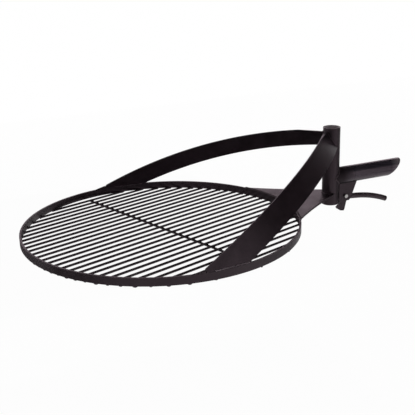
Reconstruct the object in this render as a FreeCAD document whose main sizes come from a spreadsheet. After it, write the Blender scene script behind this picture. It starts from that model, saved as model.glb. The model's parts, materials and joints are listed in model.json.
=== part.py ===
import FreeCAD, Part
import os
import Sketcher

# Swing-away grill grate for a fire-pit post, in millimetres. The origin is on the post axis at the
# sleeve's lower end, +Z runs up the post, +X outward along the handle, the grate lies on the -X side.
BAR_COUNT = 28

doc = FreeCAD.newDocument("swing_grate")

# Driving sizes
SIZES = {
    "sleeve_od": 48.3,
    "sleeve_wall": 2.6,
    "sleeve_len": 223.0,
    "grate_od": 726.0,
    "grate_reach": 520.0,
    "rim_tall": 20.0,
    "rim_thick": 5.0,
    "rim_level": 14.0,
    "bar_dia": 6.0,
    "bar_edge_gap": 20.2,
    "bar_turn": 17.4,
    "cross_shift": 13.0,
    "cross_dia": 6.0,
    "arm_wide": 60.0,
    "arm_thick": 5.0,
    "arm_bulge": 70.1,
    "arm_tilt": 57.26,
    "arm_drop": 23.65,
    "arm_foot_turn": 96.2,
    "arm_foot_inset": 2.0,
    "arm_toe_cut": 3.0,
    "arm_head_out": 1.6,
    "arm_head_gap": 1.55,
    "arm_head_down": 9.5,
    "arm_top_gap": 11.0,
    "plate_thick": 5.0,
    "plate_half_wide": 155.0,
    "plate_side_bow": 1080.0,
    "handle_od": 48.3,
    "handle_wall": 2.6,
    "handle_level": 78.0,
    "handle_reach": 212.0,
    "handle_slant": 45.0,
    "cheek_gap": 18.0,
    "cheek_thick": 5.0,
    "cheek_top_reach": 79.0,
    "cheek_low_reach": 61.5,
    "cheek_low_level": 10.1,
    "cheek_foot_reach": 55.6,
    "cheek_foot_level": 3.5,
    "pivot_reach": 42.5,
    "pivot_level": 18.5,
    "bolt_dia": 6.0,
    "bolt_spare": 4.0,
    "bolt_hole_gap": 0.2,
    "hex_flats": 10.0,
    "head_tall": 4.0,
    "nut_tall": 5.0,
    "nut_hole_gap": 0.02,
    "washer_od": 12.0,
    "washer_thick": 1.6,
    "hub_od": 16.0,
    "hub_run_gap": 0.05,
    "hub_side_gap": 0.4,
    "rod_dia": 16.0,
    "rod_slope": 5.0,
    "rod_straight": 36.0,
    "rod_bend_rad": 340.0,
    "rod_bend_turn": 18.0,
    "rod_out": 12.6,
    "rod_down": 6.95,
    "jaw_thick": 10.0,
    "jaw_toe_in": 20.7,
    "jaw_toe_down": 36.3,
    "jaw_deep": 47.8,
    "stop_dia": 6.0,
    "stop_in": 11.6,
    "stop_down": 10.9,
}
sheet = doc.addObject("Spreadsheet::Sheet", "dims")
for row, (alias, value) in enumerate(SIZES.items(), start=1):
    sheet.set("A%d" % row, alias)
    sheet.set("B%d" % row, str(value))
    sheet.setAlias("B%d" % row, alias)

# Sizes worked out from the driving ones
WORKED = {
    "sleeve_rad": "dims.sleeve_od / 2",
    "bore_rad": "dims.sleeve_od / 2 - dims.sleeve_wall",
    "handle_rad": "dims.handle_od / 2",
    "grate_rad": "dims.grate_od / 2",
    "rim_top": "dims.rim_level + dims.rim_tall",
    "rim_inner": "dims.grate_od / 2 - dims.rim_thick",
    "bar_step": "2 * (rim_inner - dims.bar_edge_gap) / %d" % (BAR_COUNT - 1),
    "turn_c": "cos(dims.bar_turn * 1 deg)",
    "turn_s": "sin(dims.bar_turn * 1 deg)",
    "bar_px": "-dims.grate_reach - grate_rad * turn_c",
    "bar_py": "-grate_rad * turn_s",
    "cross_half": "rim_inner - dims.cross_dia",
    "cross_px": "-dims.grate_reach + cross_half * turn_s + dims.cross_shift * turn_c",
    "cross_py": "-cross_half * turn_c + dims.cross_shift * turn_s",
    "cross_level": "dims.rim_level - dims.bar_dia / 2 - dims.cross_dia / 2",
    "cheek_out": "dims.cheek_gap / 2 + dims.cheek_thick",
    "cheek_root": "0.7 * sleeve_rad",
    "cheek_crown": "dims.handle_level - 0.5 * handle_rad",
    "hex_rad": "dims.hex_flats / sqrt(3)",
    "head_out": "cheek_out + dims.washer_thick",
    "foot_rad": "dims.grate_od / 2 - dims.arm_foot_inset",
    "foot_px": "-dims.grate_reach + foot_rad * cos(dims.arm_foot_turn * 1 deg)",
    "foot_py": "foot_rad * sin(dims.arm_foot_turn * 1 deg)",
    "head_px": "dims.arm_head_out",
    "head_py": "-sleeve_rad - dims.arm_head_gap",
    "head_pz": "dims.sleeve_len - dims.arm_head_down",
    "chord": "sqrt((head_px - foot_px)^2 + (head_py - foot_py)^2 + (head_pz - rim_top)^2)",
    "ex": "(head_px - foot_px) / chord",
    "ey": "(head_py - foot_py) / chord",
    "ez": "(head_pz - rim_top) / chord",
    "flat": "sqrt(1 - ez^2)",
    "lean_c": "cos(dims.arm_tilt * 1 deg)",
    "lean_s": "sin(dims.arm_tilt * 1 deg)",
    "bx": "-lean_c * ez * ex / flat - lean_s * ey / flat",
    "by": "-lean_c * ez * ey / flat + lean_s * ex / flat",
    "bz": "lean_c * flat",
    "wx": "ey * bz - ez * by",
    "wy": "ez * bx - ex * bz",
    "wz": "ex * by - ey * bx",
    "arm_rad": "(chord^2 / 4 + dims.arm_bulge^2) / (2 * dims.arm_bulge)",
    "arm_yaw": "atan2(wy; wx)",
    "arm_pitch": "acos(wz)",
    "band_low": "-dims.arm_drop - dims.arm_wide / 2",
    "axis_px": "(head_px + foot_px) / 2 + (dims.arm_bulge - arm_rad) * bx + band_low * wx",
    "axis_py": "(head_py + foot_py) / 2 + (dims.arm_bulge - arm_rad) * by + band_low * wy",
    "axis_pz": "(head_pz + rim_top) / 2 + (dims.arm_bulge - arm_rad) * bz + band_low * wz",
    "rod_px": "dims.pivot_reach + dims.rod_out",
    "rod_pz": "dims.pivot_level - dims.rod_down",
    "bend_px": "rod_px + dims.rod_straight * cos(dims.rod_slope * 1 deg)",
    "bend_pz": "rod_pz - dims.rod_straight * sin(dims.rod_slope * 1 deg)",
    "face_half": "0.54 * dims.rod_dia",
    "face_run": "face_half * sin(dims.rod_slope * 1 deg)",
    "face_rise": "face_half * cos(dims.rod_slope * 1 deg)",
}
worked = doc.addObject("Spreadsheet::Sheet", "worked")
for row, (alias, formula) in enumerate(WORKED.items(), start=1):
    worked.set("A%d" % row, alias)
    worked.set("B%d" % row, "=" + formula)
    worked.setAlias("B%d" % row, alias)
doc.recompute()
NODES = []


def bind(obj, **expressions):
    for prop, text in expressions.items():
        obj.setExpression(prop, text)
    return obj


def place(obj, x="0", y="0", z="0", yaw="0", pitch="0", roll="0"):
    turn = "rotation((%s) * 1 deg; (%s) * 1 deg; (%s) * 1 deg)" % (yaw, pitch, roll)
    spot = "vector((%s) * 1; (%s) * 1; (%s) * 1)" % (x, y, z)
    obj.setExpression("Placement", "placement(%s; %s)" % (spot, turn))
    return obj


def cylinder(name, radius, height, **where):
    return place(bind(doc.addObject("Part::Cylinder", name), Radius=radius, Height=height), **where)


def box(name, length, width, height, **where):
    return place(bind(doc.addObject("Part::Box", name), Length=length, Width=width, Height=height), **where)


def cut(name, base, tool):
    obj = doc.addObject("Part::Cut", name)
    obj.Base = base
    obj.Tool = tool
    return obj


def common(name, base, tool):
    obj = doc.addObject("Part::Common", name)
    obj.Base = base
    obj.Tool = tool
    return obj


def fuse(name, base, tool):
    obj = doc.addObject("Part::Fuse", name)
    obj.Base = base
    obj.Tool = tool
    return obj


def node(obj, label):
    obj.Label = label
    NODES.append(obj)
    return obj


def outline(name, points):
    """Closed sketch through points given as pairs of expressions."""
    sketch = doc.addObject("Sketcher::SketchObject", name)
    start = [(sheet_value(px), sheet_value(pz)) for px, pz in points]
    count = len(points)
    for index in range(count):
        first = FreeCAD.Vector(*start[index], 0)
        second = FreeCAD.Vector(*start[(index + 1) % count], 0)
        sketch.addGeometry(Part.LineSegment(first, second), False)
    for index in range(count):
        sketch.addConstraint(Sketcher.Constraint("Coincident", index, 2, (index + 1) % count, 1))
    for index, (px, pz) in enumerate(points):
        for kind, text, axis in (("DistanceX", px, 0), ("DistanceY", pz, 1)):
            place_no = sketch.addConstraint(Sketcher.Constraint(kind, -1, 1, index, 1, start[index][axis]))
            sketch.setExpression("Constraints[%d]" % place_no, text)
    return sketch


def sheet_value(text):
    probe = doc.addObject("App::FeaturePython", "probe")
    probe.addProperty("App::PropertyFloat", "reading")
    probe.setExpression("reading", text)
    probe.recompute()
    value = float(probe.reading)
    doc.removeObject(probe.Name)
    return value


def slab(name, sketch, thick, **where):
    obj = doc.addObject("Part::Extrusion", name)
    obj.Base = sketch
    obj.DirMode = "Custom"
    obj.Dir = FreeCAD.Vector(0, 0, 1)
    obj.Solid = True
    obj.setExpression("LengthFwd", thick)
    return place(obj, **where)


# Post sleeve: a plain length of pipe
sleeve_solid = cylinder("sleeve_solid", "worked.sleeve_rad", "dims.sleeve_len")
sleeve_bore = cylinder("sleeve_bore", "worked.bore_rad", "dims.sleeve_len + 2", z="-1")
node(cut("sleeve_pipe", sleeve_solid, sleeve_bore), "post_sleeve")

# Handle: pipe coped to the sleeve and cut on a slant at the free end
handle_long = "dims.handle_reach + dims.sleeve_od"
handle_solid = cylinder("handle_solid", "worked.handle_rad", handle_long, z="dims.handle_level", pitch="90")
handle_bore = cylinder("handle_bore", "worked.handle_rad - dims.handle_wall", handle_long,
                       z="dims.handle_level", pitch="90")
handle_pipe = cut("handle_pipe", handle_solid, handle_bore)
handle_coped = cut("handle_coped", handle_pipe, sleeve_solid)
slant_block = box("slant_block", "3 * dims.sleeve_od", "2 * dims.sleeve_od", "4 * dims.sleeve_od",
                  x="dims.handle_reach - 2 * dims.sleeve_od * sin(dims.handle_slant * 1 deg)",
                  y="-dims.sleeve_od",
                  z="dims.handle_level - 2 * dims.sleeve_od * cos(dims.handle_slant * 1 deg)",
                  pitch="dims.handle_slant")
node(cut("handle_end", handle_coped, slant_block), "handle_tube")

# Grate rim: flat bar rolled on edge
rim_solid = cylinder("rim_solid", "worked.grate_rad", "dims.rim_tall",
                     x="-dims.grate_reach", z="dims.rim_level")
rim_hollow = cylinder("rim_hollow", "worked.grate_rad - dims.rim_thick", "dims.rim_tall + 2",
                      x="-dims.grate_reach", z="dims.rim_level - 1")
node(cut("rim_ring", rim_solid, rim_hollow), "grate_rim")

# Grate bars: round rods coped to the inside of the rim, their axes level with its lower edge
bar_room = cylinder("bar_room", "worked.rim_inner", "4 * dims.bar_dia", x="-dims.grate_reach",
                    z="dims.rim_level - 2 * dims.bar_dia")
for index in range(BAR_COUNT):
    offset = "((%.1f) * worked.bar_step)" % (index - (BAR_COUNT - 1) / 2)
    long_bar = cylinder("long_bar_%02d" % (index + 1), "dims.bar_dia / 2", "dims.grate_od",
                        x="worked.bar_px - %s * worked.turn_s" % offset,
                        y="worked.bar_py + %s * worked.turn_c" % offset,
                        z="dims.rim_level", yaw="dims.bar_turn", pitch="90")
    node(common("bar_%02d" % (index + 1), long_bar, bar_room), "grate_bar_%02d" % (index + 1))

# Cross rod: square to the bars, welded under them, a little off the middle
cross_bar = cylinder("cross_bar", "dims.cross_dia / 2", "2 * worked.cross_half",
                     x="worked.cross_px", y="worked.cross_py", z="worked.cross_level",
                     yaw="dims.bar_turn + 90", pitch="90")
node(cross_bar, "cross_rod")

# Arms: flat bar rolled the easy way, leaning in, coped to the sleeve and standing on the rim, toe cut blunt
ring_out = cylinder("ring_out", "worked.arm_rad + dims.arm_thick / 2", "dims.arm_wide",
                    x="worked.axis_px", y="worked.axis_py", z="worked.axis_pz",
                    yaw="worked.arm_yaw", pitch="worked.arm_pitch")
ring_in = cylinder("ring_in", "worked.arm_rad - dims.arm_thick / 2", "dims.arm_wide",
                   x="worked.axis_px", y="worked.axis_py", z="worked.axis_pz",
                   yaw="worked.arm_yaw", pitch="worked.arm_pitch")
arm_ring = cut("arm_ring", ring_out, ring_in)
arm_toe = "(worked.foot_px + dims.arm_toe_cut)"
arm_room = box("arm_room", "dims.sleeve_od / 4 - " + arm_toe, "1.3 * worked.grate_rad",
               "dims.sleeve_len - dims.arm_top_gap - worked.rim_top", x=arm_toe, z="worked.rim_top")
arm_piece = common("arm_piece", arm_ring, arm_room)
arm_right = node(cut("arm_coped", arm_piece, sleeve_solid), "arm_right")
arm_left = doc.addObject("Part::Mirroring", "arm_mirror")
arm_left.Source = arm_right
arm_left.Normal = FreeCAD.Vector(0, 1, 0)
node(arm_left, "arm_left")

# Neck plate: flat fishtail between sleeve and rim, flush with the rim's top edge
neck_box = box("neck_box", "dims.grate_reach - 0.8 * worked.grate_rad - 0.15 * worked.sleeve_rad",
               "2 * dims.plate_half_wide", "dims.plate_thick",
               x="-dims.grate_reach + 0.8 * worked.grate_rad", y="-dims.plate_half_wide",
               z="worked.rim_top - dims.plate_thick")
side_run = "(-dims.grate_reach + sqrt(worked.grate_rad^2 - dims.plate_half_wide^2))"
side_rise = "(dims.plate_half_wide - worked.sleeve_rad)"
side_len = "sqrt(%s^2 + %s^2)" % (side_run, side_rise)
side_off = "sqrt(dims.plate_side_bow^2 - (%s)^2 / 4)" % side_len
neck = neck_box
for tag, sign in (("right", "1"), ("left", "-1")):
    bite = cylinder("neck_bite_" + tag, "dims.plate_side_bow", "dims.plate_thick + 2",
                    x="%s / 2 + %s * %s / %s" % (side_run, side_off, side_rise, side_len),
                    y="%s * ((worked.sleeve_rad + dims.plate_half_wide) / 2 - %s * %s / %s)"
                    % (sign, side_off, side_run, side_len),
                    z="worked.rim_top - dims.plate_thick - 1")
    neck = cut("neck_cut_" + tag, neck, bite)
neck_at_rim = cut("neck_at_rim", neck, rim_solid)
node(cut("neck_at_sleeve", neck_at_rim, sleeve_solid), "neck_plate")

# Lever cheeks: two plates under the handle, coped to handle and sleeve, drilled for bolt and stop pin
cheek_points = [
    ("worked.cheek_root", "dims.cheek_foot_level"),
    ("dims.cheek_foot_reach", "dims.cheek_foot_level"),
    ("dims.cheek_low_reach", "dims.cheek_low_level"),
    ("dims.cheek_top_reach", "dims.handle_level - worked.handle_rad"),
    ("dims.cheek_top_reach", "worked.cheek_crown"),
    ("worked.cheek_root", "worked.cheek_crown"),
]
bolt_hole = cylinder("bolt_hole", "dims.bolt_dia / 2 + dims.bolt_hole_gap", "6 * dims.cheek_gap",
                     x="dims.pivot_reach", y="3 * dims.cheek_gap", z="dims.pivot_level", roll="90")
stop_hole = cylinder("stop_hole", "dims.stop_dia / 2", "6 * dims.cheek_gap",
                     x="dims.pivot_reach - dims.stop_in", y="3 * dims.cheek_gap",
                     z="dims.pivot_level - dims.stop_down", roll="90")
for tag, start in (("right", "worked.cheek_out"), ("left", "-dims.cheek_gap / 2")):
    cheek_sketch = outline("cheek_outline_" + tag, cheek_points)
    cheek = slab("cheek_slab_" + tag, cheek_sketch, "dims.cheek_thick", y=start, roll="90")
    cheek = cut("cheek_a_" + tag, cheek, sleeve_solid)
    cheek = cut("cheek_b_" + tag, cheek, handle_solid)
    cheek = cut("cheek_c_" + tag, cheek, bolt_hole)
    node(cut("cheek_d_" + tag, cheek, stop_hole), "lever_cheek_" + tag)

# Stop pin pressed through both cheeks
node(cylinder("stop_bar", "dims.stop_dia / 2", "2 * worked.cheek_out", x="dims.pivot_reach - dims.stop_in",
              y="worked.cheek_out", z="dims.pivot_level - dims.stop_down", roll="90"), "stop_pin")

# Pivot bolt, nut and two washers, M6 sizes with a plain shank
for tag, start in (("head", "-worked.cheek_out"), ("nut", "worked.head_out")):
    disc = cylinder("disc_" + tag, "dims.washer_od / 2", "dims.washer_thick",
                    x="dims.pivot_reach", y=start, z="dims.pivot_level", roll="90")
    node(cut("disc_cut_" + tag, disc, bolt_hole), "washer_" + tag)


def hexagon(name, height, y):
    prism = doc.addObject("Part::Prism", name)
    prism.Polygon = 6
    bind(prism, Circumradius="worked.hex_rad", Height=height)
    return place(prism, x="dims.pivot_reach", y=y, z="dims.pivot_level", roll="90")


nut_end = "worked.head_out + dims.nut_tall"
shank = cylinder("shank", "dims.bolt_dia / 2", "2 * worked.head_out + dims.nut_tall + dims.bolt_spare",
                 x="dims.pivot_reach", y="%s + dims.bolt_spare" % nut_end, z="dims.pivot_level", roll="90")
bolt_head = hexagon("bolt_head", "dims.head_tall", "-worked.head_out")
node(fuse("bolt_body", shank, bolt_head), "pivot_bolt")
nut_block = hexagon("nut_block", "dims.nut_tall", nut_end)
nut_hole = cylinder("nut_hole", "dims.bolt_dia / 2 + dims.nut_hole_gap", "3 * dims.nut_tall",
                    x="dims.pivot_reach", y="%s + dims.nut_tall" % nut_end, z="dims.pivot_level", roll="90")
node(cut("nut_body", nut_block, nut_hole), "pivot_nut")

# Lever hub: a short bush that turns on the bolt
hub_solid = cylinder("hub_solid", "dims.hub_od / 2", "dims.cheek_gap - 2 * dims.hub_side_gap",
                     x="dims.pivot_reach", y="dims.cheek_gap / 2 - dims.hub_side_gap",
                     z="dims.pivot_level", roll="90")
hub_bore = cylinder("hub_bore", "dims.bolt_dia / 2 + dims.hub_run_gap", "2 * dims.cheek_gap",
                    x="dims.pivot_reach", y="dims.cheek_gap", z="dims.pivot_level", roll="90")
node(cut("hub_bush", hub_solid, hub_bore), "lever_hub")

# Jaw plate: hangs from the hub, its toe reaches in under the sleeve to bite on the post
jaw_points = [
    ("dims.pivot_reach - dims.hub_od * 0.45", "dims.pivot_level - dims.hub_od * 0.1"),
    ("dims.pivot_reach - dims.hub_od * 0.5", "dims.pivot_level - dims.hub_od * 0.5"),
    ("dims.pivot_reach - dims.jaw_toe_in * 0.43", "dims.pivot_level - dims.jaw_toe_down * 0.6"),
    ("dims.pivot_reach - dims.jaw_toe_in * 0.58", "dims.pivot_level - dims.jaw_toe_down * 0.79"),
    ("dims.pivot_reach - dims.jaw_toe_in * 0.83", "dims.pivot_level - dims.jaw_toe_down * 0.9"),
    ("dims.pivot_reach - dims.jaw_toe_in", "dims.pivot_level - dims.jaw_toe_down"),
    ("dims.pivot_reach - dims.jaw_toe_in * 0.85", "dims.pivot_level - dims.jaw_toe_down * 1.13"),
    ("dims.pivot_reach - dims.jaw_toe_in * 0.45", "dims.pivot_level - dims.jaw_deep * 0.965"),
    ("dims.pivot_reach + dims.jaw_deep * 0.05", "dims.pivot_level - dims.jaw_deep"),
    ("dims.pivot_reach + dims.jaw_deep * 0.1", "dims.pivot_level - dims.jaw_deep * 0.89"),
    ("dims.pivot_reach + dims.jaw_deep * 0.19", "dims.pivot_level - dims.jaw_deep * 0.5"),
    ("worked.rod_px - worked.face_run", "worked.rod_pz - worked.face_rise"),
    ("worked.rod_px + worked.face_run", "worked.rod_pz + worked.face_rise"),
    ("dims.pivot_reach", "dims.pivot_level"),
]
jaw_sketch = outline("jaw_outline", jaw_points)
jaw_slab = slab("jaw_slab", jaw_sketch, "dims.jaw_thick", y="dims.jaw_thick / 2", roll="90")
node(cut("jaw_piece", jaw_slab, hub_solid), "jaw_plate")

# Lever rod: straight off the jaw plate, then a gentle bend down to the free end
rod_start = cylinder("rod_start", "dims.rod_dia / 2", "dims.rod_straight",
                     x="worked.rod_px", z="worked.rod_pz", pitch="90 + dims.rod_slope")
rod_arc = doc.addObject("Part::Torus", "rod_arc")
bind(rod_arc, Radius1="dims.rod_bend_rad", Radius2="dims.rod_dia / 2", Angle3="dims.rod_bend_turn * 1 deg")
place(rod_arc, x="worked.bend_px - dims.rod_bend_rad * sin(dims.rod_slope * 1 deg)",
      z="worked.bend_pz - dims.rod_bend_rad * cos(dims.rod_slope * 1 deg)",
      roll="90", pitch="-90 + dims.rod_slope + dims.rod_bend_turn")
rod_whole = fuse("rod_whole", rod_start, rod_arc)
node(cut("rod_piece", rod_whole, hub_solid), "lever_rod")

doc.recompute()
for obj in NODES:
    if "Invalid" in obj.State or "Error" in obj.State:
        raise RuntimeError("%s did not build: %s" % (obj.Label, obj.State))
    if obj.Shape.isNull() or not obj.Shape.isValid():
        raise RuntimeError("%s has no valid shape" % obj.Label)
    if len(obj.Shape.Solids) != 1:
        raise RuntimeError("%s is %d solids" % (obj.Label, len(obj.Shape.Solids)))

os.makedirs("parts", exist_ok=True)
for obj in NODES:
    obj.Shape.exportStep("parts/%s.step" % obj.Label)
    print("%-20s volume %10.1f" % (obj.Label, obj.Shape.Volume))
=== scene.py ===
import json
import math
import bmesh
import bpy
from mathutils import Matrix, Vector
from mathutils.bvhtree import BVHTree


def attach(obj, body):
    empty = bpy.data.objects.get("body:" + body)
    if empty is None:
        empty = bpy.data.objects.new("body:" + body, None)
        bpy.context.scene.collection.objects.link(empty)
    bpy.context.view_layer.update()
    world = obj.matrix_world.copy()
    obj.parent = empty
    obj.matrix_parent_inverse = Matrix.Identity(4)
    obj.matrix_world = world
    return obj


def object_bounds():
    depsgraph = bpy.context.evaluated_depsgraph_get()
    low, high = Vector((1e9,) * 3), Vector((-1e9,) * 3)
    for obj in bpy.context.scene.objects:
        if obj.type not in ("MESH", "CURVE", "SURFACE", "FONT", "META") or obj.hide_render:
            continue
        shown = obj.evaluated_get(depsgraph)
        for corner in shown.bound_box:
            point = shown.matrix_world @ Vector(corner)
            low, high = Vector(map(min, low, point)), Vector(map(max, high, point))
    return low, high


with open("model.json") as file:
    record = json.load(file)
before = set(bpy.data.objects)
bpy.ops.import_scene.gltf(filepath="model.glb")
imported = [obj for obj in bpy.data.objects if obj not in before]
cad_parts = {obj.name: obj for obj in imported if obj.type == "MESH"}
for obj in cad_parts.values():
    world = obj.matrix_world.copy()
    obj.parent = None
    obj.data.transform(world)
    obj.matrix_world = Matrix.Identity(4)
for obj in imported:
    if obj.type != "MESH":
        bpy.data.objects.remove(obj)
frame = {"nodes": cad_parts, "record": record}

CAD_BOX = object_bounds()
NODES = frame["nodes"]
MM = 0.001

# Sizes shared with the solids, in metres
RIM_CORNERS = [NODES["grate_rim"].matrix_world @ Vector(corner) for corner in NODES["grate_rim"].bound_box]
RIM_LOW = Vector(min(corner[axis] for corner in RIM_CORNERS) for axis in range(3))
RIM_HIGH = Vector(max(corner[axis] for corner in RIM_CORNERS) for axis in range(3))
RIM_THICK = 0.005
BORE_RADIUS = frame["record"]["mounts"][0]["dims"]["r_mm"] * MM
RIM_INNER = (RIM_HIGH.x - RIM_LOW.x) / 2 - RIM_THICK
GRATE_CENTRE = Vector(((RIM_LOW.x + RIM_HIGH.x) / 2, 0.0, RIM_LOW.z))
BAR_COUNT = 28
BAR_EDGE_GAP = 0.0202
BAR_STEP = 2 * (RIM_INNER - BAR_EDGE_GAP) / (BAR_COUNT - 1)
BAR_RADIUS = 0.003
BAR_TURN = math.radians(17.4)
CROSS_SHIFT = 0.013

# Weld beads and spots, in metres
SEAM_REACH = 0.35 * MM
SAME_POINT = 0.01 * MM
SHARP_ANGLE = math.radians(30.0)
BEAD_RIPPLE = 3.2 * MM
BEAD_SCALLOP = 0.13
BEAD_SIDES = 8
BEAD_TAPER = (0.25, 0.7, 0.92)
RIM_SPOT = (3.2 * MM, 5.4 * MM, 3.0 * MM)
RIM_SPOT_OUT = 1.2 * MM
RIM_SPOT_DROP = 0.6 * MM
CROSS_SPOT = (1.6 * MM, 2.4 * MM, 1.4 * MM)
SPOT_UNEVEN = 0.22
TOE_WELD_LENGTH = 0.033
TOE_WELD_RISE = 0.0032
TOE_WELD_STEPS = 8
TOE_WELD_START = 0.0038
TOE_WELD_END = 0.0010

# Camera: aimed past the grate centre, no lens shift
VIEW_AZIMUTH = math.radians(-24.23)
VIEW_ELEVATION = math.radians(18.789)
VIEW_ROLL = math.radians(-1.65)
VIEW_DISTANCE = 2.0572
VIEW_RIGHT = 0.1197
VIEW_UP = 0.05544
FOCAL_PIXELS = 786.32
PHOTO_WIDTH = 415
SENSOR = 36.0

# Studio: white floor and surround, with cards that shape the reflections
# Each card has a name, a level of grey, half sizes, a place, a turn and, if it is lit, a glow
FLOOR_LEVEL = -0.62
CARD_LEVEL = FLOOR_LEVEL + 0.02
FLOOR_GLOW = 0.98
KEY_PLACE = (1.3, -2.4, 1.4)
KEY_TARGET = (-0.1, 0.0, 0.1)
KEY_SIZE = 1.0
KEY_POWER = 2.5
FLOOR_HALF = 30.0
FLAT = (0.0, 0.0, 0.0)
UPRIGHT_BACK = (math.radians(90.0), 0.0, 0.0)
UPRIGHT_SIDE = (0.0, math.radians(90.0), 0.0)
FACING_VIEW = (math.radians(90.0), 0.0, VIEW_AZIMUTH)
CARDS = (("card_above", 0.065, (5.5, 3.4), (-0.3, -0.5, 2.6), FLAT),
         ("card_behind", 0.05, (3.4, 3.4), (-1.9, -4.0, 1.3), FACING_VIEW),
         ("card_right", 0.40, (3.0, 3.75), (4.4, -1.35, 1.9), UPRIGHT_SIDE),
         ("card_below", 0.45, (0.6, 0.45), (-0.45, 0.08, CARD_LEVEL), FLAT),
         ("card_floor_left", 0.30, (0.9, 1.05), (-2.5, 0.15, CARD_LEVEL), FLAT),
         ("card_floor_right", 0.45, (0.76, 1.2), (1.84, -0.2, CARD_LEVEL), FLAT),
         ("card_floor_back", 0.28, (1.6, 0.75), (-1.0, 1.75, CARD_LEVEL), FLAT),
         ("card_beyond", 0.95, (3.5, 2.4), (2.0, 4.5, 1.7), UPRIGHT_BACK, 0.36))
CARD_TINT = (1.0, 0.86, 0.93)

# Colours, and where the paint is rubbed by hands or the post; some of them are painted light or painted
# shade, as the notes below say
PAINT_DARK = (0.0100, 0.0068, 0.0088)
PAINT_LIGHT = (0.0195, 0.0140, 0.0176)
PAINT_DUST = (0.0300, 0.0260, 0.0270)
PAINT_RUBBED = (0.0900, 0.0800, 0.0830)
BARE_STEEL = (0.6000, 0.5500, 0.5700)
# Bar paint: a lighter copy of the black paint, painted light for the little light that reaches the bars
# under the dark card above
BAR_DARK = (0.0420, 0.0350, 0.0390)
BAR_LIGHT = (0.0640, 0.0550, 0.0600)
# Handle paint: a lighter, bluer copy of the black paint, painted light for the light band the handle
# catches
HANDLE_DARK = (0.0520, 0.0460, 0.0600)
HANDLE_LIGHT = (0.0730, 0.0650, 0.0840)
BORE_FADE = 0.4 * MM
HANDLE_RUB_LENGTH = 0.040
HANDLE_RUB_MOST = 0.8
# Painted shadow that the sleeve casts on the handle's root: where it fades out along x, and its roughness
HANDLE_ROOT_SHADOW = (0.030, 0.072)
ROOT_SHADOW_ROUGH = 0.70
WELD_DARK = (0.0480, 0.0360, 0.0420)
WELD_LIGHT = (0.0860, 0.0680, 0.0770)
# Near-black painted shade: for the shadow on the handle's root, and on the weld seams around the lever
# cheeks and under the bars, where shade falls
PAINTED_SHADE_DARK = (0.0030, 0.0022, 0.0026)
PAINTED_SHADE_LIGHT = (0.0070, 0.0050, 0.0060)
# Pale paint on the arms' foot welds: a painted highlight along the seam, with high gloss
FOOT_WELD_DARK = (0.2900, 0.2450, 0.2700)
FOOT_WELD_LIGHT = (0.4900, 0.4300, 0.4600)
PAINT_TINT = (1.0, 0.76, 0.88)
PAINT_GLOSS = 0.45
PAINT_ROUGH = (0.30, 0.44)
RUBBED_ROUGH = (0.16, 0.24)
ROD_GLOSS = 0.35
# Low gloss of the near-black painted shade
PAINTED_SHADE_GLOSS = 0.10
FOOT_WELD_GLOSS = 0.90
ZINC_DARK = (0.36, 0.35, 0.35)
ZINC_LIGHT = (0.48, 0.46, 0.45)
FLOOR_DARK = (0.93, 0.93, 0.93)
FLOOR_LIGHT = (0.96, 0.96, 0.96)

# Grain of the paint: noise scale and detail
CLOUD_GRAIN = (22.0, 5.0)
PATCH_GRAIN = (95.0, 3.0)
PEEL_GRAIN = (520.0, 2.0)
SPECK_GRAIN = (900.0, 1.0)
GRIT_GRAIN = (2400.0, 1.0)
ZINC_BLOTCH_GRAIN = (260.0, 4.0)
ZINC_MARK_GRAIN = (1800.0, 2.0)
FLOOR_GRAIN = (3.0, 2.0)
WORN_EDGE = 1.6 * MM


def add_camera():
    back = Vector((math.sin(VIEW_AZIMUTH) * math.cos(VIEW_ELEVATION),
                   -math.cos(VIEW_AZIMUTH) * math.cos(VIEW_ELEVATION),
                   math.sin(VIEW_ELEVATION)))
    level = Vector((math.cos(VIEW_AZIMUTH), math.sin(VIEW_AZIMUTH), 0.0))
    rise = back.cross(level)
    right = math.cos(VIEW_ROLL) * level + math.sin(VIEW_ROLL) * rise
    up = -math.sin(VIEW_ROLL) * level + math.cos(VIEW_ROLL) * rise
    eye = GRATE_CENTRE + back * VIEW_DISTANCE + right * VIEW_RIGHT + up * VIEW_UP
    data = bpy.data.cameras.new("photo_camera")
    data.sensor_width = SENSOR
    data.lens = FOCAL_PIXELS * SENSOR / PHOTO_WIDTH
    data.clip_end = 50.0
    camera = bpy.data.objects.new("photo_camera", data)
    turn = Matrix((right, up, back)).transposed().to_4x4()
    camera.matrix_world = Matrix.Translation(eye) @ turn
    bpy.context.scene.collection.objects.link(camera)
    bpy.context.scene.camera = camera


def new_material(name):
    material = bpy.data.materials.new(name)
    material.use_nodes = True
    tree = material.node_tree
    return material, tree, tree.nodes["Principled BSDF"]


def add_noise(tree, coords, grain):
    noise = tree.nodes.new("ShaderNodeTexNoise")
    noise.inputs["Scale"].default_value = grain[0]
    noise.inputs["Detail"].default_value = grain[1]
    noise.inputs["Roughness"].default_value = 0.55
    tree.links.new(coords.outputs["Object"], noise.inputs["Vector"])
    return noise.outputs["Fac"]


def spread(tree, value, low, high, out_low, out_high):
    node = tree.nodes.new("ShaderNodeMapRange")
    node.inputs["From Min"].default_value = low
    node.inputs["From Max"].default_value = high
    node.inputs["To Min"].default_value = out_low
    node.inputs["To Max"].default_value = out_high
    tree.links.new(value, node.inputs["Value"])
    return node.outputs["Result"]


def blend_colours(tree, factor, first, second):
    node = tree.nodes.new("ShaderNodeMix")
    node.data_type = "RGBA"
    node.inputs["A"].default_value = (*first, 1.0)
    node.inputs["B"].default_value = (*second, 1.0)
    tree.links.new(factor, node.inputs["Factor"])
    return node.outputs["Result"]


def add_bump(tree, height, strength, distance, under=None):
    node = tree.nodes.new("ShaderNodeBump")
    node.inputs["Strength"].default_value = strength
    node.inputs["Distance"].default_value = distance
    tree.links.new(height, node.inputs["Height"])
    if under is not None:
        tree.links.new(under, node.inputs["Normal"])
    return node.outputs["Normal"]


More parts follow.
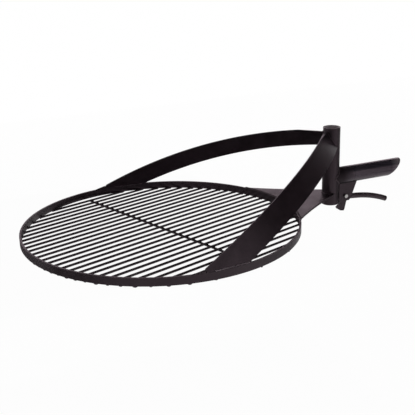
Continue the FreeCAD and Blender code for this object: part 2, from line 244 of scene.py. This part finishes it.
def edge_mask(tree, radius):
    """1 along the sharp edges of a solid, 0 on its faces."""
    rounded = tree.nodes.new("ShaderNodeBevel")
    rounded.samples = 6
    rounded.inputs["Radius"].default_value = radius
    shape = tree.nodes.new("ShaderNodeNewGeometry")
    agree = tree.nodes.new("ShaderNodeVectorMath")
    agree.operation = "DOT_PRODUCT"
    tree.links.new(rounded.outputs["Normal"], agree.inputs[0])
    tree.links.new(shape.outputs["Normal"], agree.inputs[1])
    return spread(tree, agree.outputs["Value"], 0.99, 0.86, 0.0, 1.0)


def times(tree, first, second):
    node = tree.nodes.new("ShaderNodeMath")
    node.operation = "MULTIPLY"
    tree.links.new(first, node.inputs[0])
    tree.links.new(second, node.inputs[1])
    return node.outputs["Value"]


def towards(tree, value, factor, goal):
    node = tree.nodes.new("ShaderNodeMapRange")
    tree.links.new(factor, node.inputs["Value"])
    tree.links.new(value, node.inputs["To Min"])
    node.inputs["To Max"].default_value = goal
    return node.outputs["Result"]


def over_colour(tree, under, factor, colour):
    node = tree.nodes.new("ShaderNodeMix")
    node.data_type = "RGBA"
    node.inputs["B"].default_value = (*colour, 1.0)
    tree.links.new(under, node.inputs["A"])
    tree.links.new(factor, node.inputs["Factor"])
    return node.outputs["Result"]


def inside_sleeve(tree, coords):
    """1 on the inside of the sleeve, which the post keeps rubbed; there it is bare steel, which is also
    painted light in the mouth of the sleeve.
    """
    level = tree.nodes.new("ShaderNodeVectorMath")
    level.operation = "MULTIPLY"
    level.inputs[1].default_value = (1.0, 1.0, 0.0)
    reach = tree.nodes.new("ShaderNodeVectorMath")
    reach.operation = "LENGTH"
    tree.links.new(coords.outputs["Object"], level.inputs[0])
    tree.links.new(level.outputs["Vector"], reach.inputs[0])
    return spread(tree, reach.outputs["Value"], BORE_RADIUS, BORE_RADIUS + BORE_FADE, 1.0, 0.0)


def near_handle_end(tree, coords):
    """Fades in towards the free end of the handle, where hands rub it most."""
    place = tree.nodes.new("ShaderNodeSeparateXYZ")
    tree.links.new(coords.outputs["Object"], place.inputs["Vector"])
    end = CAD_BOX[1][0]
    return spread(tree, place.outputs["X"], end - HANDLE_RUB_LENGTH, end, 0.0, HANDLE_RUB_MOST)


def painted_root_shadow(tree, coords):
    """Painted shadow of the sleeve on the handle's root: darker, rougher paint that fades out away from
    the sleeve.
    """
    place = tree.nodes.new("ShaderNodeSeparateXYZ")
    tree.links.new(coords.outputs["Object"], place.inputs["Vector"])
    return spread(tree, place.outputs["X"], *HANDLE_ROOT_SHADOW, 1.0, 0.0)


def black_paint(name, dark, light, bare=None, gloss=PAINT_GLOSS, rough=PAINT_ROUGH, shadowed=None):
    """Satin black heat paint on mill steel: cloudy sheen, orange peel, fine dust, edges rubbed in places.

    bare makes a mask of where the paint is rubbed down to steel, and the last argument one of where a
    shadow is painted on as darker, rougher paint.
    """
    material, tree, shader = new_material(name)
    coords = tree.nodes.new("ShaderNodeTexCoord")
    cloud = add_noise(tree, coords, CLOUD_GRAIN)
    patch = add_noise(tree, coords, PATCH_GRAIN)
    speck = add_noise(tree, coords, SPECK_GRAIN)
    peel = add_noise(tree, coords, PEEL_GRAIN)
    grit = add_noise(tree, coords, GRIT_GRAIN)
    tone = blend_colours(tree, spread(tree, cloud, 0.35, 0.65, 0.0, 1.0), dark, light)
    tone = over_colour(tree, tone, spread(tree, speck, 0.66, 0.74, 0.0, 0.30), PAINT_DUST)
    worn = times(tree, edge_mask(tree, WORN_EDGE), spread(tree, patch, 0.42, 0.62, 0.12, 0.75))
    tone = over_colour(tree, tone, worn, PAINT_RUBBED)
    if bare is not None:
        tone = over_colour(tree, tone, bare(tree, coords), BARE_STEEL)
    sheen = spread(tree, cloud, 0.3, 0.7, *rough)
    # Painted shadow: darker, rougher paint where the mask is 1
    if shadowed is not None:
        shadow_mask = shadowed(tree, coords)
        tone = over_colour(tree, tone, shadow_mask, PAINTED_SHADE_DARK)
        sheen = towards(tree, sheen, shadow_mask, ROOT_SHADOW_ROUGH)
    tree.links.new(tone, shader.inputs["Base Color"])
    tree.links.new(sheen, shader.inputs["Roughness"])
    first = add_bump(tree, peel, 0.22, 0.0007)
    tree.links.new(add_bump(tree, grit, 0.10, 0.0002, first), shader.inputs["Normal"])
    shader.inputs["Specular IOR Level"].default_value = gloss
    shader.inputs["Specular Tint"].default_value = (*PAINT_TINT, 1.0)
    return material


def bright_zinc():
    """Bright zinc plate: faint blotches and fine turning marks."""
    material, tree, shader = new_material("bright_zinc")
    coords = tree.nodes.new("ShaderNodeTexCoord")
    blotch = add_noise(tree, coords, ZINC_BLOTCH_GRAIN)
    marks = add_noise(tree, coords, ZINC_MARK_GRAIN)
    tone = blend_colours(tree, blotch, ZINC_DARK, ZINC_LIGHT)
    tree.links.new(tone, shader.inputs["Base Color"])
    tree.links.new(spread(tree, blotch, 0.3, 0.7, 0.20, 0.36), shader.inputs["Roughness"])
    tree.links.new(add_bump(tree, marks, 0.12, 0.0002), shader.inputs["Normal"])
    shader.inputs["Metallic"].default_value = 1.0
    return material


PAINT = black_paint("black_heat_paint", PAINT_DARK, PAINT_LIGHT)
# Bare steel inside the sleeve, where the post rubs it, which is also painted light in the sleeve's mouth
SLEEVE_PAINT = black_paint("sleeve_paint", PAINT_DARK, PAINT_LIGHT, inside_sleeve)
# Handle: lighter, bluer copy of the black paint, painted light
HANDLE_PAINT = black_paint("handle_paint", HANDLE_DARK, HANDLE_LIGHT, near_handle_end,
                           rough=RUBBED_ROUGH, shadowed=painted_root_shadow)
# Bars: lighter copy of the black paint, painted light
BAR_PAINT = black_paint("bar_paint", BAR_DARK, BAR_LIGHT)
# Lever rod: the lighter weld colours, painted light
ROD_PAINT = black_paint("lever_rod_paint", WELD_DARK, WELD_LIGHT, None, ROD_GLOSS)
WELD_PAINT = black_paint("painted_weld", WELD_DARK, WELD_LIGHT)
# Painted highlight along the arms' foot welds
FOOT_WELD_HIGHLIGHT = black_paint("painted_highlight_weld", FOOT_WELD_DARK, FOOT_WELD_LIGHT,
                              gloss=FOOT_WELD_GLOSS, rough=RUBBED_ROUGH)
# Near-black painted shade on the seams around the lever cheeks and on the cross rod's weld spots under the
# bars
SHADE_WELD_PAINT = black_paint("painted_shade_weld", PAINTED_SHADE_DARK, PAINTED_SHADE_LIGHT, None, PAINTED_SHADE_GLOSS)
ZINC = bright_zinc()
NODE_FINISH = {"pivot_bolt": ZINC, "pivot_nut": ZINC,
               "post_sleeve": SLEEVE_PAINT, "handle_tube": HANDLE_PAINT, "lever_rod": ROD_PAINT}

# Rounded edges: width in mm for each node that has them
BEVEL_STEPS = 2
BEVEL_ANGLE = math.radians(38.0)
EDGE_ROUND = {"neck_plate": 0.8, "arm_left": 2.0, "arm_right": 2.0, "grate_rim": 0.7,
              "post_sleeve": 0.6, "handle_tube": 0.7, "lever_cheek_left": 0.6, "lever_cheek_right": 0.6,
              "jaw_plate": 0.7, "lever_rod": 1.2, "pivot_bolt": 0.5, "pivot_nut": 0.5}

# Weld beads: name, seams as piece and carrier, radius in mm, body and finish
CHEEK_SEAMS = [(cheek, carrier) for cheek in ("lever_cheek_left", "lever_cheek_right")
               for carrier in ("post_sleeve", "handle_tube")]
FOOT_SEAMS = [("arm_left", "grate_rim"), ("arm_right", "grate_rim")]
HEAD_SEAMS = [("arm_left", "post_sleeve"), ("arm_right", "post_sleeve")]
NECK_SEAMS = [("neck_plate", "post_sleeve"), ("neck_plate", "grate_rim")]
LEVER_SEAMS = [("lever_rod", "jaw_plate"), ("jaw_plate", "lever_hub")]
WELDS = (
    # The arms' foot welds carry a painted highlight
    ("arm_foot_welds", FOOT_SEAMS, 2.6, "grate", FOOT_WELD_HIGHLIGHT),
    ("arm_head_welds", HEAD_SEAMS, 2.0, "grate", WELD_PAINT),
    ("neck_welds", NECK_SEAMS, 2.0, "grate", WELD_PAINT),
    ("handle_weld", [("handle_tube", "post_sleeve")], 2.4, "grate", WELD_PAINT),
    # The seams around the lever cheeks carry near-black painted shade
    ("cheek_welds", CHEEK_SEAMS, 1.6, "grate", SHADE_WELD_PAINT),
    ("lever_welds", LEVER_SEAMS, 1.0, "lever", WELD_PAINT),
)


def dress_nodes():
    for name, obj in NODES.items():
        obj.data.materials.clear()
        usual = BAR_PAINT if name.startswith("grate_bar") else PAINT
        obj.data.materials.append(NODE_FINISH.get(name, usual))
        if name in EDGE_ROUND:
            bevel = obj.modifiers.new("soft_edges", "BEVEL")
            bevel.width = EDGE_ROUND[name] * MM
            bevel.segments = BEVEL_STEPS
            bevel.limit_method = "ANGLE"
            bevel.angle_limit = BEVEL_ANGLE
            bevel.harden_normals = True


def finish_piece(name, mesh, body, finish):
    obj = bpy.data.objects.new(name, mesh)
    obj.data.materials.append(finish)
    for face in mesh.polygons:
        face.use_smooth = True
    bpy.context.scene.collection.objects.link(obj)
    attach(obj, body)


def node_tree(name):
    mesh = NODES[name].data
    points = [vertex.co.copy() for vertex in mesh.vertices]
    faces = [tuple(face.vertices) for face in mesh.polygons]
    return BVHTree.FromPolygons(points, faces)


def seam_paths(piece, carrier):
    """Lines where the sharp edges of one solid lie on the surface of another, as lists of points."""
    mesh = NODES[piece].data
    tree = node_tree(carrier)
    work = bmesh.new()
    work.from_mesh(mesh)
    bmesh.ops.remove_doubles(work, verts=work.verts, dist=SAME_POINT)
    links = {}
    for edge in work.edges:
        if len(edge.link_faces) != 2 or edge.calc_face_angle(0.0) < SHARP_ANGLE:
            continue
        ends = [vertex.co.copy() for vertex in edge.verts]
        tests = ends + [(ends[0] + ends[1]) / 2]
        if all(tree.find_nearest(point, SEAM_REACH)[0] is not None for point in tests):
            first, second = edge.verts[0].index, edge.verts[1].index
            links.setdefault(first, []).append(second)
            links.setdefault(second, []).append(first)
    places = {vertex.index: vertex.co.copy() for vertex in work.verts}
    work.free()
    paths, used = [], set()
    starts = sorted(links, key=lambda index: (len(links[index]) != 1, index))
    for start in starts:
        path, here = [start], start
        while True:
            onward = [other for other in links[here] if (min(here, other), max(here, other)) not in used]
            if not onward:
                break
            other = onward[0]
            used.add((min(here, other), max(here, other)))
            path.append(other)
            here = other
        if len(path) > 1:
            paths.append([places[index] for index in path])
    return paths


def even_points(path, step):
    """The same line, with points an even step apart."""
    lengths = [0.0]
    for first, second in zip(path, path[1:]):
        lengths.append(lengths[-1] + (second - first).length)
    count = max(2, int(lengths[-1] / step))
    points, leg = [], 0
    for index in range(count + 1):
        target = lengths[-1] * index / count
        while leg < len(path) - 2 and lengths[leg + 1] < target:
            leg += 1
        span = max(lengths[leg + 1] - lengths[leg], 1e-9)
        points.append(path[leg].lerp(path[leg + 1], (target - lengths[leg]) / span))
    return points


def inside_box(point):
    low, high = CAD_BOX
    return Vector(min(max(value, least), most) for value, least, most in zip(point, low, high))


def add_bead(work, path, radius, end_radius=None):
    """A weld bead along a line: overlapping scallops of metal, rounded off at both ends."""
    change = 0.0 if end_radius is None else end_radius - radius
    points = even_points(path, BEAD_RIPPLE / 4)
    rings = []
    for index, point in enumerate(points):
        ahead = points[min(index + 1, len(points) - 1)] - points[max(index - 1, 0)]
        along = ahead.normalized() if ahead.length > 0 else Vector((1, 0, 0))
        side = along.orthogonal().normalized()
        other = along.cross(side)
        near_end = min(index, len(points) - 1 - index)
        taper = BEAD_TAPER[near_end] if near_end < len(BEAD_TAPER) else 1.0
        width = radius + change * index / (len(points) - 1)
        swell = width * taper * (1.0 + BEAD_SCALLOP * math.cos(index * math.pi / 2))
        ring = []
        for turn in range(BEAD_SIDES):
            angle = 2 * math.pi * turn / BEAD_SIDES
            spot = point + swell * (math.cos(angle) * side + math.sin(angle) * other)
            ring.append(work.verts.new(inside_box(spot)))
        rings.append(ring)
    for first, second in zip(rings, rings[1:]):
        shift = min(range(BEAD_SIDES), key=lambda turn: (second[turn].co - first[0].co).length)
        second[:] = second[shift:] + second[:shift]
        for turn in range(BEAD_SIDES):
            onward = (turn + 1) % BEAD_SIDES
            work.faces.new((first[turn], first[onward], second[onward], second[turn]))
    work.faces.new(rings[0][::-1])
    work.faces.new(rings[-1])


def finish_beads(name, work, body, finish):
    mesh = bpy.data.meshes.new(name)
    bmesh.ops.recalc_face_normals(work, faces=work.faces)
    work.to_mesh(mesh)
    work.free()
    if len(mesh.polygons):
        finish_piece(name, mesh, body, finish)


def weld(name, seams, radius, body, finish):
    work = bmesh.new()
    for piece, carrier in seams:
        for path in seam_paths(piece, carrier):
            add_bead(work, path, radius * MM)
    finish_beads(name, work, body, finish)


def toe_welds():
    """Weld that caps each arm's toe and runs out along the top of the rim."""
    work = bmesh.new()
    middle = RIM_INNER + RIM_THICK / 2
    for name in ("arm_left", "arm_right"):
        toe = min((vertex.co for vertex in NODES[name].data.vertices), key=lambda point: point.x)
        start = math.atan2(toe.y, toe.x - GRATE_CENTRE.x)
        onward = math.copysign(TOE_WELD_LENGTH / middle, start)
        path = []
        for step in range(TOE_WELD_STEPS + 1):
            share = step / TOE_WELD_STEPS
            angle = start + onward * share
            place = (middle * math.cos(angle), middle * math.sin(angle), TOE_WELD_RISE * (1.0 - share))
            path.append(Vector((GRATE_CENTRE.x, 0.0, RIM_HIGH.z)) + Vector(place))
        add_bead(work, path, TOE_WELD_START, TOE_WELD_END)
    finish_beads("arm_toe_welds", work, "grate", WELD_PAINT)


def add_spot(work, centre, size, turn):
    """A small domed weld spot, longer across the joint than along it."""
    place = Matrix.Translation(centre) @ Matrix.Rotation(turn, 4, "Z") @ Matrix.Diagonal((*size, 1.0))
    bmesh.ops.create_uvsphere(work, u_segments=8, v_segments=6, radius=1.0, matrix=place)


def bar_spots():
    along = Vector((math.cos(BAR_TURN), math.sin(BAR_TURN), 0.0))
    across = Vector((-math.sin(BAR_TURN), math.cos(BAR_TURN), 0.0))
    rim_work, cross_work = bmesh.new(), bmesh.new()
    for index in range(BAR_COUNT):
        offset = (index - (BAR_COUNT - 1) / 2) * BAR_STEP
        half = math.sqrt(RIM_INNER ** 2 - offset ** 2)
        for way in (-1, 1):
            outward = (across * offset + along * (half * way)).normalized()
            blob = 1.0 + SPOT_UNEVEN * math.sin(2.3 * index + 1.7 * way)
            spot = GRATE_CENTRE + outward * (RIM_INNER + RIM_SPOT_OUT) - Vector((0, 0, RIM_SPOT_DROP))
            facing = math.atan2(outward.y, outward.x)
            add_spot(rim_work, spot, (RIM_SPOT[0], RIM_SPOT[1] * blob, RIM_SPOT[2] * blob), facing)
        low = GRATE_CENTRE + across * offset + along * CROSS_SHIFT - Vector((0, 0, BAR_RADIUS))
        for way in (-1, 1):
            add_spot(cross_work, low + along * (CROSS_SPOT[0] * way), CROSS_SPOT, BAR_TURN)
    # The cross rod's weld spots carry near-black painted shade
    for name, work, finish in (("bar_end_welds", rim_work, WELD_PAINT),
                               ("cross_rod_welds", cross_work, SHADE_WELD_PAINT)):
        mesh = bpy.data.meshes.new(name)
        work.to_mesh(mesh)
        work.free()
        finish_piece(name, mesh, "grate", finish)


def link_new(obj):
    bpy.context.scene.collection.objects.link(obj)


def flat_sheet(name, halves, material):
    mesh = bpy.data.meshes.new(name)
    work = bmesh.new()
    shape = Matrix.Diagonal((*halves, 1.0, 1.0))
    bmesh.ops.create_grid(work, x_segments=1, y_segments=1, size=1.0, matrix=shape)
    work.to_mesh(mesh)
    work.free()
    mesh.materials.append(material)
    return bpy.data.objects.new(name, mesh)


def seen_directly(tree):
    """1 for camera, mirror and see-through rays, 0 for the rays that only carry light."""
    path = tree.nodes.new("ShaderNodeLightPath")
    seen = path.outputs["Is Camera Ray"]
    for extra in ("Is Glossy Ray", "Is Transmission Ray"):
        both = tree.nodes.new("ShaderNodeMath")
        both.operation = "MAXIMUM"
        tree.links.new(seen, both.inputs[0])
        tree.links.new(path.outputs[extra], both.inputs[1])
        seen = both.outputs["Value"]
    return seen


def add_card(name, level, halves, spot, turn, glow=0.0):
    """A matt card in a warm grey that the camera doesn't see."""
    material, _, shader = new_material(name)
    shader.inputs["Base Color"].default_value = (*(level * part for part in CARD_TINT), 1.0)
    shader.inputs["Emission Color"].default_value = (*CARD_TINT, 1.0)
    shader.inputs["Emission Strength"].default_value = glow
    shader.inputs["Roughness"].default_value = 1.0
    card = flat_sheet(name, halves, material)
    card.location = spot
    card.rotation_euler = turn
    card.visible_camera = False
    link_new(card)


def add_stage():
    """Pale floor well below the grate, and the cards around it."""
    material, tree, shader = new_material("pale_floor")
    coords = tree.nodes.new("ShaderNodeTexCoord")
    mottle = add_noise(tree, coords, FLOOR_GRAIN)
    tone = blend_colours(tree, mottle, FLOOR_DARK, FLOOR_LIGHT)
    tree.links.new(tone, shader.inputs["Base Color"])
    shader.inputs["Roughness"].default_value = 0.9
    shader.inputs["Specular IOR Level"].default_value = 0.0
    glow = tree.nodes.new("ShaderNodeEmission")
    mix = tree.nodes.new("ShaderNodeMixShader")
    tree.links.new(spread(tree, seen_directly(tree), 0.0, 1.0, 0.0, FLOOR_GLOW), mix.inputs["Fac"])
    tree.links.new(shader.outputs["BSDF"], mix.inputs[1])
    tree.links.new(glow.outputs["Emission"], mix.inputs[2])
    tree.links.new(mix.outputs["Shader"], tree.nodes["Material Output"].inputs["Surface"])
    floor = flat_sheet("studio_floor", (FLOOR_HALF, FLOOR_HALF), material)
    floor.location = (0.0, 0.0, FLOOR_LEVEL)
    link_new(floor)
    for card in CARDS:
        add_card(*card)


def add_light(name, spot, target, size, power):
    data = bpy.data.lights.new(name, "AREA")
    data.size = size
    data.energy = power
    lamp = bpy.data.objects.new(name, data)
    lamp.location = spot
    lamp.rotation_euler = (Vector(target) - Vector(spot)).to_track_quat("-Z", "Y").to_euler()
    bpy.context.scene.collection.objects.link(lamp)


def add_world():
    """An even white surround, which gives most of the light."""
    world = bpy.data.worlds.new("white_studio")
    bpy.context.scene.world = world
    world.use_nodes = True
    surround = world.node_tree.nodes["Background"]
    surround.inputs["Color"].default_value = (1.0, 1.0, 1.0, 1.0)
    surround.inputs["Strength"].default_value = 1.0


add_camera()
dress_nodes()
for welds in WELDS:
    weld(*welds)
toe_welds()
bar_spots()
add_stage()
add_world()
add_light("soft_key", KEY_PLACE, KEY_TARGET, KEY_SIZE, KEY_POWER)
bpy.context.scene.view_settings.view_transform = "Standard"
